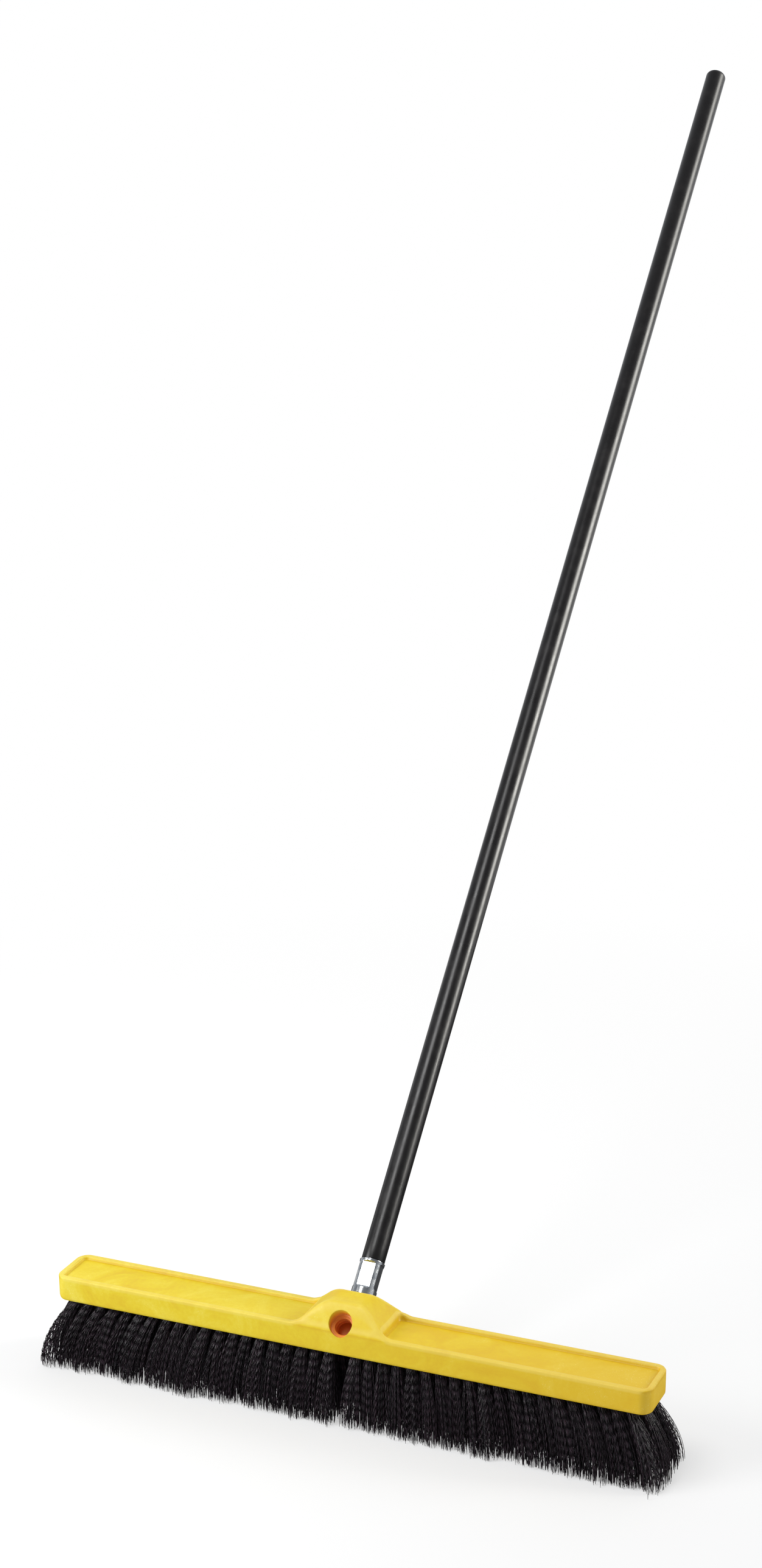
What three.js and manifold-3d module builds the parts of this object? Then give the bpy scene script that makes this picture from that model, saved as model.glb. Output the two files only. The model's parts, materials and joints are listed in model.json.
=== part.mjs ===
// Push broom: a moulded plastic block with two threaded sockets, a wooden pole screwed in through a
// metal tip, and rows of bristle tufts. Millimetres, +Z up. The origin is the middle of the sweeping
// face, on the floor. +X runs along the block, -Y is the side of the empty socket, and the pole leans
// back towards +Y.
import * as THREE from 'three';
import { mergeVertices } from 'three/addons/utils/BufferGeometryUtils.js';
import Module from 'manifold-3d';

const wasm = await Module();
wasm.setup();

// Block
const BLOCK_LENGTH = 609.6; // 24 in
const BLOCK_WIDTH = 56;
const UNDERSIDE_WIDTH = 50; // the long sides are chamfered in towards the underside
const BLOCK_HEIGHT = 25; // underside to rim
const CHAMFER_HEIGHT = 4;
const CORNER_RADIUS = 12;
const RIM_WIDTH = 6;
const POCKET_DEPTH = 3;
const POCKET_DRAFT = 1.5; // run of the pocket's sloping wall
const BRISTLE_HEIGHT = 70; // underside to floor
const RIM_Z = BRISTLE_HEIGHT + BLOCK_HEIGHT;
const END_X = BLOCK_LENGTH / 2;
const SIDE_Y = BLOCK_WIDTH / 2;

// Hub: a bell-shaped mound whose front and rear faces lean in to take the sockets
const HUB_RISE = 23.5;
const HUB_PLATEAU = 13; // half-length of the flat top
const HUB_FOOT = 53; // half-length where the bell meets the rim
const HUB_LEAN = 13; // how far each face leans in over the full rise
const HUB_SADDLE = 1.5; // dip between the two faces
const HUB_BLEND = 3; // softening between the crown and the faces
const POCKET_START = 41; // the pockets end in a wall this far from the middle

// Handle and its sockets
const HANDLE_ELEVATION = THREE.MathUtils.degToRad(45.9);
const AXIS_Z = 77.2; // where both socket axes cross the middle plane
const THREAD_PITCH = 5.08; // five threads to the inch
const THREAD_RADIUS = 9.5;
const THREAD_DEPTH = 1.9;
const THREAD_PLAY = 0.45;
const THREAD_FLANK = 0.14; // shares of the pitch
const TIP_CREST = 0.24;
const SOCKET_CREST = 0.5;
const THREAD_STEP = THREAD_PITCH / 6; // height of one ring of facets
const SOCKET_FLOOR = 11; // stations along the axis, from the middle plane
const SOCKET_SHOULDER = 27;
const COUNTERBORE_RADIUS = 12.3;
const TIP_START = 11.6;
const TIP_CONE_START = 27.6;
const TIP_CONE_END = 36;
const TIP_FLATS_START = 46.6;
const TIP_FLATS_END = 71.8;
const TIP_FLATS_FADE = 1.5;
const TIP_RIM = 74.6;
const TIP_RADIUS = 12.2;
const TIP_FLAT_APOTHEM = 9.9;
const TIP_FLATS = 4;
const TIP_FLAT_TURN = THREE.MathUtils.degToRad(6);
const TIP_BORE_RADIUS = 9;
const TIP_BORE_START = 45;
const POLE_RADIUS = 11.4;
const POLE_VISIBLE = 1491; // rim of the tip to the top of the dome
const POLE_DOME = 6.5;
const TENON_RADIUS = 8.7;
const GAP = 0.3;
const NECK_RADIUS = THREAD_RADIUS - 0.3; // the tip, where its cone starts
const CUTTER_LENGTH = 30; // a mouth or a bore runs this far out of its solid
const SOCKET_SIDES = 18;
const ROUND_SIDES = 28;
const POLE_SIDES = 32;
const DOME_RINGS = 5;

// Tufts
const ROW_COUNT = 5;
const ROW_PITCH = 9.6;
const TUFT_PITCH = 14.2;
const TUFT_WIDTH = 8;
const TUFTS_PER_GROUP = 10;
const FIRST_TUFT = 13; // odd rows; the even ones start half a pitch further out
const FLOOR_LENGTH = 635; // the fibres splay out on the floor
const FLOOR_WIDTH = 75;
const MERGE_HEIGHT = 40; // above this the tufts stand apart

// Colours are sRGB hex
const YELLOW_PLASTIC = new THREE.MeshStandardMaterial({ color: 0xe6c62a, roughness: 0.5, metalness: 0 });
const ZINC_STEEL = new THREE.MeshStandardMaterial({ color: 0xc9cdd0, roughness: 0.2, metalness: 1 });
const BLACK_LACQUER = new THREE.MeshStandardMaterial({ color: 0x17171b, roughness: 0.35, metalness: 0 });
const BLACK_FIBRE = new THREE.MeshStandardMaterial({ color: 0x1c191c, roughness: 0.6, metalness: 0 });

const clamp = THREE.MathUtils.clamp;
const smooth = (value, low, high) => THREE.MathUtils.smoothstep(value, low, high);

// Solids

function toSolid(geometry) {
  const bare = geometry.clone();
  bare.deleteAttribute('normal');
  bare.deleteAttribute('uv');
  const merged = mergeVertices(bare, 1e-4);
  return new wasm.Manifold(new wasm.Mesh({
    numProp: 3,
    vertProperties: Float32Array.from(merged.attributes.position.array),
    triVerts: Uint32Array.from(merged.index.array),
  }));
}

function toGeometry(solid) {
  const mesh = solid.getMesh();
  const geometry = new THREE.BufferGeometry();
  geometry.setAttribute('position', new THREE.BufferAttribute(Float32Array.from(mesh.vertProperties), 3));
  geometry.setIndex(new THREE.BufferAttribute(Uint32Array.from(mesh.triVerts), 1));
  geometry.computeVertexNormals();
  return geometry;
}

function namedMesh(name, geometry, material) {
  const mesh = new THREE.Mesh(geometry, material);
  mesh.name = name;
  return mesh;
}

// A closed round body about +Z whose radius is a function of height and angle.
function turnedBody(stations, radiusAt, sides) {
  const bottom = stations[0];
  const top = stations[stations.length - 1];
  const profile = [new THREE.Vector2(0, bottom), ...stations.map((z) => new THREE.Vector2(1, z)),
    new THREE.Vector2(0, top)];
  const geometry = new THREE.LatheGeometry(profile, sides);
  const position = geometry.attributes.position;
  for (let i = 0; i < position.count; i += 1) {
    // the lathe turns about Y; the body turns about Z
    const [x, z, y] = [position.getX(i), position.getY(i), -position.getZ(i)];
    const onAxis = Math.hypot(x, y) < 0.5;
    const angle = Math.atan2(y, x);
    const radius = onAxis ? 0 : radiusAt(z, angle);
    position.setXYZ(i, radius * Math.cos(angle), radius * Math.sin(angle), z);
  }
  return geometry;
}

function evenSteps(low, high, step) {
  const count = Math.max(1, Math.round((high - low) / step));
  return Array.from({ length: count + 1 }, (_, i) => low + ((high - low) * i) / count);
}

// Share of the thread's depth at a height and angle: 1 on the crest, 0 in the root.
function threadShare(z, angle, crest) {
  const turn = z / THREAD_PITCH - angle / (2 * Math.PI);
  const fromCrest = Math.abs(turn - Math.round(turn));
  return clamp((crest / 2 + THREAD_FLANK - fromCrest) / THREAD_FLANK, 0, 1);
}

// Block

function bell(x) {
  const run = clamp((Math.abs(x) - HUB_PLATEAU) / (HUB_FOOT - HUB_PLATEAU), 0, 1);
  return 0.5 * (1 + Math.cos(Math.PI * run));
}

function softMin(a, b, width) {
  const mix = clamp(0.5 + (0.5 * (b - a)) / width, 0, 1);
  return b + (a - b) * mix - width * mix * (1 - mix);
}

function topHeight(x, y) {
  const saddle = HUB_SADDLE * Math.cos((Math.PI * clamp(y / (SIDE_Y - HUB_LEAN), -1, 1)) / 2) * bell(x);
  const crown = RIM_Z + HUB_RISE * bell(x) - saddle;
  const face = RIM_Z + ((SIDE_Y - Math.abs(y)) * HUB_RISE) / HUB_LEAN;
  const hub = Math.min(crown, softMin(crown, face, HUB_BLEND));
  const inX = smooth(Math.abs(x), POCKET_START - POCKET_DRAFT, POCKET_START)
    * (1 - smooth(Math.abs(x), END_X - RIM_WIDTH - POCKET_DRAFT, END_X - RIM_WIDTH));
  const inY = 1 - smooth(Math.abs(y), SIDE_Y - RIM_WIDTH - POCKET_DRAFT, SIDE_Y - RIM_WIDTH);
  const pocket = inX * inY;
  return hub * (1 - pocket) + (RIM_Z - POCKET_DEPTH) * pocket;
}

// Grid lines through the given breaks, evenly spaced between them, then mirrored about zero.
function mirroredLines(breaks, counts) {
  const half = [0];
  counts.forEach((count, i) => {
    half.push(...evenSteps(breaks[i], breaks[i + 1], (breaks[i + 1] - breaks[i]) / count).slice(1));
  });
  return [...half.slice(1).map((value) => -value).reverse(), ...half];
}

// How far a block of the given width has drawn in at x, where its corners are round.
function cornerTrim(x) {
  const depth = clamp((Math.abs(x) - (END_X - CORNER_RADIUS)) / CORNER_RADIUS, 0, 1);
  return CORNER_RADIUS * (1 - Math.sqrt(1 - depth * depth));
}

// The block without its sockets: the top is a height field, the sides are rings of the same outline,
// and the underside is one flat face.
function blockBody() {
  const cornerX = END_X - CORNER_RADIUS;
  const pocketEnd = END_X - RIM_WIDTH;
  const xs = mirroredLines(
    [0, POCKET_START - POCKET_DRAFT, POCKET_START, HUB_FOOT, cornerX, pocketEnd - POCKET_DRAFT, pocketEnd,
      END_X - CORNER_RADIUS / 5, END_X],
    [11, 1, 3, 1, 2, 1, 1, 2],
  );
  const pocketSide = SIDE_Y - RIM_WIDTH;
  const ys = mirroredLines(
    [0, SIDE_Y - HUB_LEAN - 3, pocketSide - POCKET_DRAFT, pocketSide, SIDE_Y],
    [3, 4, 1, 3],
  );
  const points = [];
  const triangles = [];
  const place = (x, y, z, width) => points.push(x, (y / SIDE_Y) * (width / 2 - cornerTrim(x)), z) / 3 - 1;
  const top = xs.map((x) => ys.map((y) => place(x, y, topHeight(x, y), BLOCK_WIDTH)));
  for (let i = 0; i < xs.length - 1; i += 1) {
    for (let j = 0; j < ys.length - 1; j += 1) {
      const [a, b, c, d] = [top[i][j], top[i + 1][j], top[i + 1][j + 1], top[i][j + 1]];
      const rising = (i < (xs.length - 1) / 2) === (j < (ys.length - 1) / 2);
      triangles.push(...(rising ? [a, b, c, a, c, d] : [a, b, d, b, c, d]));
    }
  }
  const last = [xs.length - 1, ys.length - 1];
  const edge = [
    ...xs.slice(0, -1).map((x, i) => [i, 0]),
    ...ys.slice(0, -1).map((y, j) => [last[0], j]),
    ...xs.slice(1).map((x, i) => [last[0] - i, last[1]]),
    ...ys.slice(1).map((y, j) => [0, last[1] - j]),
  ];
  const shrink = 1 - (BLOCK_WIDTH - UNDERSIDE_WIDTH) / BLOCK_LENGTH;
  const rings = [
    edge.map(([i, j]) => top[i][j]),
    edge.map(([i, j]) => place(xs[i], ys[j], BRISTLE_HEIGHT + CHAMFER_HEIGHT, BLOCK_WIDTH)),
    edge.map(([i, j]) => {
      const index = place(xs[i], ys[j], BRISTLE_HEIGHT, UNDERSIDE_WIDTH);
      points[index * 3] *= shrink;
      return index;
    }),
  ];
  for (let level = 0; level < rings.length - 1; level += 1) {
    edge.forEach((_, k) => {
      const next = (k + 1) % edge.length;
      const [a, b] = [rings[level + 1][k], rings[level + 1][next]];
      const [c, d] = [rings[level][next], rings[level][k]];
      triangles.push(a, b, c, a, c, d);
    });
  }
  const floor = rings[rings.length - 1];
  const outline = floor.map((index) => new THREE.Vector2(points[index * 3], points[index * 3 + 1]));
  for (const [a, b, c] of THREE.ShapeUtils.triangulateShape(outline, [])) {
    triangles.push(floor[a], floor[c], floor[b]);
  }
  const geometry = new THREE.BufferGeometry();
  geometry.setAttribute('position', new THREE.Float32BufferAttribute(points, 3));
  geometry.setIndex(triangles);
  return geometry;
}

// The frame of a socket: Z runs out along its axis. side is +1 for the rear, -1 for the front.
function socketFrame(side) {
  const frame = new THREE.Group();
  frame.position.set(0, 0, AXIS_Z);
  frame.rotation.set(-side * (Math.PI / 2 - HANDLE_ELEVATION), 0, 0);
  frame.updateMatrixWorld(true);
  return frame;
}

// A plain cylinder along Z from the given station outwards.
function boreCutter(radius, start) {
  const bore = new THREE.CylinderGeometry(radius, radius, CUTTER_LENGTH, ROUND_SIDES);
  bore.rotateX(Math.PI / 2);
  bore.translate(0, 0, start + CUTTER_LENGTH / 2);
  return bore;
}

function socketCutter(side) {
  const stations = evenSteps(SOCKET_FLOOR, SOCKET_SHOULDER, THREAD_STEP);
  const root = THREAD_RADIUS - THREAD_DEPTH + THREAD_PLAY;
  const thread = turnedBody(stations,
    (z, angle) => root + THREAD_DEPTH * threadShare(z, angle, SOCKET_CREST), SOCKET_SIDES);
  const mouth = boreCutter(COUNTERBORE_RADIUS, SOCKET_SHOULDER - 0.05);
  const matrix = socketFrame(side).matrixWorld;
  return toSolid(thread.applyMatrix4(matrix)).add(toSolid(mouth.applyMatrix4(matrix)));
}

function makeBlock() {
  const body = toSolid(blockBody());
  return body.subtract(socketCutter(1)).subtract(socketCutter(-1));
}

// Handle

function tipRadius(z, angle) {
  if (z <= TIP_CONE_START) {
    return THREAD_RADIUS - THREAD_DEPTH + THREAD_DEPTH * threadShare(z, angle, TIP_CREST);
  }
  const cone = smooth(z, TIP_CONE_START - 4, TIP_CONE_END);
  const round = NECK_RADIUS + (TIP_RADIUS - NECK_RADIUS) * cone;
  const step = (2 * Math.PI) / TIP_FLATS;
  const turned = angle - TIP_FLAT_TURN;
  const fromFlat = turned - Math.round(turned / step) * step;
  const flat = TIP_FLAT_APOTHEM / Math.cos(fromFlat);
  const onFlats = z >= TIP_FLATS_START && z <= TIP_FLATS_END;
  return onFlats ? Math.min(round, flat) : round;
}

function makeTip() {
  const stations = [
    ...evenSteps(TIP_START, TIP_CONE_START, THREAD_STEP),
    ...evenSteps(TIP_CONE_START + 0.6, TIP_CONE_END - 2, 2),
    TIP_CONE_END, TIP_FLATS_START - TIP_FLATS_FADE, TIP_FLATS_START,
    TIP_FLATS_END, TIP_FLATS_END + TIP_FLATS_FADE, TIP_RIM,
  ];
  const outside = toSolid(turnedBody(stations, tipRadius, ROUND_SIDES));
  return outside.subtract(toSolid(boreCutter(TIP_BORE_RADIUS, TIP_BORE_START)));
}

function makePole() {
  const start = TIP_RIM + GAP;
  const end = TIP_RIM + POLE_VISIBLE;
  const dome = Array.from({ length: DOME_RINGS }, (_, i) => {
    const angle = (i / DOME_RINGS) * (Math.PI / 2);
    return new THREE.Vector2(POLE_RADIUS * Math.cos(angle), end - POLE_DOME + POLE_DOME * Math.sin(angle));
  });
  const profile = [
    new THREE.Vector2(0, TIP_BORE_START + 1),
    new THREE.Vector2(TENON_RADIUS, TIP_BORE_START + 1),
    new THREE.Vector2(TENON_RADIUS, start),
    new THREE.Vector2(POLE_RADIUS, start),
    ...dome,
    new THREE.Vector2(0, end),
  ];
  const geometry = new THREE.LatheGeometry(profile, POLE_SIDES);
  geometry.rotateX(Math.PI / 2);
  return toSolid(geometry);
}

// Tufts

// One comb of neighbouring tufts: its teeth meet the block, and its back is the sweeping face. The
// comb is flat in X and Z, then it splays outwards and thickens towards the floor.
function makeTuftGroup(row, half, group) {
  const rowOffset = row - (ROW_COUNT - 1) / 2;
  const start = FIRST_TUFT + (row % 2) * (TUFT_PITCH / 2) + group * TUFTS_PER_GROUP * TUFT_PITCH;
  const crossing = rowOffset === 0 && group === 0 ? half * -6 : 0.4;
  const top = BRISTLE_HEIGHT - GAP;
  const rowStart = FIRST_TUFT + (row % 2) * (TUFT_PITCH / 2) - TUFT_WIDTH / 2;
  const rowEnd = rowStart + 2 * TUFTS_PER_GROUP * TUFT_PITCH - (TUFT_PITCH - TUFT_WIDTH);
  const splay = (x) => ((x - rowStart) / (rowEnd - rowStart)) * (FLOOR_LENGTH / 2 - 0.4) + 0.4;
  const floorStart = group === 0 ? crossing : splay(start - TUFT_PITCH / 2) + GAP;
  const lastTuft = start + (TUFTS_PER_GROUP - 1) * TUFT_PITCH;
  const floorEnd = splay(Math.min(lastTuft + TUFT_PITCH / 2, rowEnd)) - GAP;
  const atHeight = (x, xFloor, z) => xFloor + ((x - xFloor) * z) / top;
  const outline = [];
  for (let i = 0; i < TUFTS_PER_GROUP; i += 1) {
    const x = start + i * TUFT_PITCH;
    outline.push([x - TUFT_WIDTH / 2, top], [x + TUFT_WIDTH / 2, top]);
    if (i < TUFTS_PER_GROUP - 1) {
      const notch = x + TUFT_PITCH / 2;
      outline.push([atHeight(notch, splay(notch), MERGE_HEIGHT), MERGE_HEIGHT]);
    }
  }
  outline.push([floorEnd, 0], [floorStart, 0]);
  const shape = new THREE.Shape(outline.map(([x, z]) => new THREE.Vector2(half * x, z)));
  const geometry = new THREE.ExtrudeGeometry(shape, { depth: 1, bevelEnabled: false });
  const position = geometry.attributes.position;
  const floorPitch = FLOOR_WIDTH / ROW_COUNT;
  for (let i = 0; i < position.count; i += 1) {
    const [x, z, side] = [position.getX(i), position.getY(i), position.getZ(i) - 0.5];
    const rise = z / top;
    const middle = rowOffset * (floorPitch + (ROW_PITCH - floorPitch) * rise);
    const thickness = floorPitch - GAP * 2 + (TUFT_WIDTH - 1 - floorPitch + GAP * 2) * rise;
    position.setXYZ(i, x, middle - side * thickness, z);
  }
  return toSolid(geometry);
}

function makeBroom() {
  const broom = new THREE.Group();
  broom.add(namedMesh('block', toGeometry(makeBlock()), YELLOW_PLASTIC));
  const handle = socketFrame(1);
  handle.add(namedMesh('metal_tip', toGeometry(makeTip()), ZINC_STEEL));
  handle.add(namedMesh('pole', toGeometry(makePole()), BLACK_LACQUER));
  broom.add(handle);
  for (let row = 0; row < ROW_COUNT; row += 1) {
    for (const [half, side] of [[-1, 'left'], [1, 'right']]) {
      for (const [group, place] of ['inner', 'outer'].entries()) {
        const name = `tuft_row_${row + 1}_${side}_${place}`;
        broom.add(namedMesh(name, toGeometry(makeTuftGroup(row, half, group)), BLACK_FIBRE));
      }
    }
  }
  return broom;
}

export default makeBroom();
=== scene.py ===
"""Push broom: foam-moulded yellow head, lacquered pole in a zinc-plated tip, crimped black fibres."""

import json
import logging
import math
from dataclasses import dataclass, field
from enum import Enum

import bpy
import numpy as np
from bpy.types import Material, Mesh, Node, NodeSocket, NodeTree, Object, World
from mathutils import Matrix, Vector


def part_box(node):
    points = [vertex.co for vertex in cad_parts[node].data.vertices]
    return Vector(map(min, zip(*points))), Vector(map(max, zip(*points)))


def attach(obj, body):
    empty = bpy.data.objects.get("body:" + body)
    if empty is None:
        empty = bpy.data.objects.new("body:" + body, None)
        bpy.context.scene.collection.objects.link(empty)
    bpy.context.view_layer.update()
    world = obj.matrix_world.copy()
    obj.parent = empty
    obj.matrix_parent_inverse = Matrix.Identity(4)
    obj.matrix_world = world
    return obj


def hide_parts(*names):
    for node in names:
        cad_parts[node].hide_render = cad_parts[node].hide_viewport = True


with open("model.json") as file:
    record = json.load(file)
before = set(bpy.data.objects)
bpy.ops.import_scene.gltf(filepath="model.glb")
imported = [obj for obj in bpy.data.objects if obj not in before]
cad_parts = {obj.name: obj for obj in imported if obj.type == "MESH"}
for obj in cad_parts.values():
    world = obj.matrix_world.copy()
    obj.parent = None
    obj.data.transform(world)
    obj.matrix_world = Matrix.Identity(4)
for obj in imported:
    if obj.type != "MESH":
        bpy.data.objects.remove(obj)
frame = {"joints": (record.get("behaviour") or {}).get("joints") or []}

Array = np.ndarray
log = logging.getLogger("push_broom")

MM = 0.001
TURN = 2.0 * math.pi
RANGE_INPUTS = ("From Min", "From Max", "To Min", "To Max")


class Slot(Enum):
    """The record's material slots."""

    YELLOW_PLASTIC = "yellow_plastic"
    ZINC_STEEL = "zinc_steel"
    BLACK_LACQUER = "black_lacquer"
    BLACK_FIBRE = "black_fibre"


class Side(Enum):
    """The two sides of the head that carry a socket, as the sign of Y."""

    REAR = 1
    FRONT = -1


class Half(Enum):
    """The two halves of the head, as the sign of X."""

    LEFT = -1
    RIGHT = 1


# Arrays and meshes


def smooth_step(value: Array, low: float, high: float) -> Array:
    """Rises from 0 at low to 1 at high as 3t^2 - 2t^3, where t is the share of the way."""
    share = np.clip((value - low) / (high - low), 0.0, 1.0)
    return share * share * (3.0 - 2.0 * share)


def soft_min(a: Array, b: Array, width: float) -> Array:
    """The lesser of a and b, with a parabolic blend where they differ by less than width."""
    share = np.clip(0.5 + 0.5 * (b - a) / width, 0.0, 1.0)
    return b + (a - b) * share - width * share * (1.0 - share)


def lines_between(stops: list[float], steps: list[float]) -> Array:
    """Evenly spaced values through the given stops.

    Args:
        stops: the values that have to be met.
        steps: the longest step wanted in each stretch.

    Returns:
        All the values in order.
    """
    stretches = [
        np.linspace(low, high, max(1, math.ceil((high - low) / step)), endpoint=False)
        for low, high, step in zip(stops, stops[1:], steps)
    ]
    return np.concatenate([*stretches, [stops[-1]]])


def grid_quads(rows: int, columns: int, wrap: bool) -> Array:
    """Faces of a grid of rows by columns points, stored row by row.

    Args:
        rows: the number of rows.
        columns: the number of points in a row.
        wrap: whether the last column meets the first.

    Returns:
        One row of four indices for each face.
    """
    row = np.arange(rows - 1)[:, None] * columns
    column = np.arange(columns if wrap else columns - 1)[None, :]
    beside = (column + 1) % columns
    corners = (row + column, row + beside, row + columns + beside, row + columns + column)
    return np.stack([corner.ravel() for corner in corners], axis=1)


def place_piece(name: str, points: Array, faces: list[Array]) -> Object:
    """Puts a smooth-shaded mesh into the scene as an object at the origin.

    Args:
        name: the object's name.
        points: one row for each point, in millimetres.
        faces: arrays of corner indices, one array for each number of corners.

    Returns:
        The object, in metres.
    """
    totals = np.concatenate([np.full(len(block), block.shape[1]) for block in faces]).astype(np.int32)
    corners = np.concatenate([block.ravel() for block in faces]).astype(np.int32)
    mesh = bpy.data.meshes.new(name)
    mesh.vertices.add(len(points))
    mesh.vertices.foreach_set("co", (points * MM).astype(np.float32).ravel())
    mesh.loops.add(len(corners))
    mesh.loops.foreach_set("vertex_index", corners)
    mesh.polygons.add(len(totals))
    starts = np.concatenate([[0], np.cumsum(totals)[:-1]]).astype(np.int32)
    mesh.polygons.foreach_set("loop_start", starts)
    mesh.polygons.foreach_set("loop_total", totals)
    mesh.polygons.foreach_set("use_smooth", np.ones(len(totals), bool))
    mesh.update(calc_edges=True)
    mesh.validate()
    piece = bpy.data.objects.new(name, mesh)
    bpy.context.scene.collection.objects.link(piece)
    return piece


def write_marks(mesh: Mesh, **marks: Array) -> None:
    """Writes number attributes for a finish, one value for each point of the mesh."""
    for name, values in marks.items():
        mesh.attributes.new(name, "FLOAT", "POINT").data.foreach_set("value", values.astype(np.float32))


def turned_surface(sides: int, *stretches: tuple[Array, Array]) -> tuple[Array, list[Array]]:
    """A closed body about +Z, from rings one after the other.

    Args:
        sides: the number of points in a ring, at equal angles.
        stretches: heights and radii, one row for each ring, and one column or one for each side.

    Returns:
        The points and the faces, with a fan of triangles closing each end.
    """
    height, radii = (
        np.concatenate([np.broadcast_to(values, (len(values), sides)) for values in column])
        for column in zip(*stretches)
    )
    angle = np.arange(sides) * TURN / sides
    points = np.stack([radii * np.cos(angle), radii * np.sin(angle), height], axis=-1).reshape(-1, 3)
    ends = np.array([[0.0, 0.0, height[0].mean()], [0.0, 0.0, height[-1].mean()]])
    first = np.arange(sides)
    beside = (first + 1) % sides
    last = (len(radii) - 1) * sides
    low, high = len(points), len(points) + 1
    caps = np.concatenate([
        np.stack([beside, first, np.full(sides, low)], axis=1),
        np.stack([last + first, last + beside, np.full(sides, high)], axis=1),
    ])
    return np.concatenate([points, ends]), [grid_quads(len(radii), sides, wrap=True), caps]


# Materials


def linear(code: str) -> tuple[float, float, float, float]:
    """An sRGB colour in six hexadecimal digits as linear red, green, blue and an alpha of 1."""
    shares = [int(code[i:i + 2], 16) / 255 for i in (0, 2, 4)]
    return (*(c / 12.92 if c <= 0.04045 else ((c + 0.055) / 1.055) ** 2.4 for c in shares), 1.0)


def add_node(
    tree: NodeTree, kind: str, settings: dict | None = None, links: dict | None = None,
) -> Node:
    """Adds one node.

    Args:
        tree: the node tree.
        kind: the node's type, without the leading ShaderNode.
        settings: values by name, for a property of the node or, failing that, an input.
        links: what feeds an input, by its name or number: a socket, or a node's first output in use.

    Returns:
        The node.
    """
    node = tree.nodes.new(f"ShaderNode{kind}")
    for key, value in (settings or {}).items():
        if isinstance(key, str) and hasattr(node, key):
            setattr(node, key, value)
        else:
            node.inputs[key].default_value = value
    for key, source in (links or {}).items():
        if isinstance(source, Node):
            source = next(socket for socket in source.outputs if socket.enabled)
        tree.links.new(source, node.inputs[key])
    return node


def fill_ramp(ramp: Node, stops: list[tuple[float, str]]) -> None:
    """Sets a colour ramp's stops.

    Args:
        ramp: the ramp node.
        stops: position and sRGB colour of each stop, in order.
    """
    elements = ramp.color_ramp.elements
    while len(elements) < len(stops):
        elements.new(0.5)
    for element, (position, code) in zip(elements, stops):
        element.position = position
        element.color = linear(code)


def empty_tree(owner: Material | World) -> NodeTree:
    """Turns on the nodes of a material or a world and takes out the ones it starts with.

    Args:
        owner: the material or the world.

    Returns:
        Its node tree.
    """
    owner.use_nodes = True
    owner.node_tree.nodes.clear()
    return owner.node_tree


@dataclass(frozen=True)
class Finish:
    """What every finish has: a name and a way to fill an empty node tree."""

    name: str

    def material(self) -> Material:
        """Builds the material.

        Returns:
            The material.
        """
        made = bpy.data.materials.new(self.name)
        tree = empty_tree(made)
        add_node(tree, "OutputMaterial", links={"Surface": self.shader(tree)})
        return made

    def shader(self, tree: NodeTree) -> Node:
        """Adds the finish's nodes to the tree and returns the shader."""
        raise NotImplementedError


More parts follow.
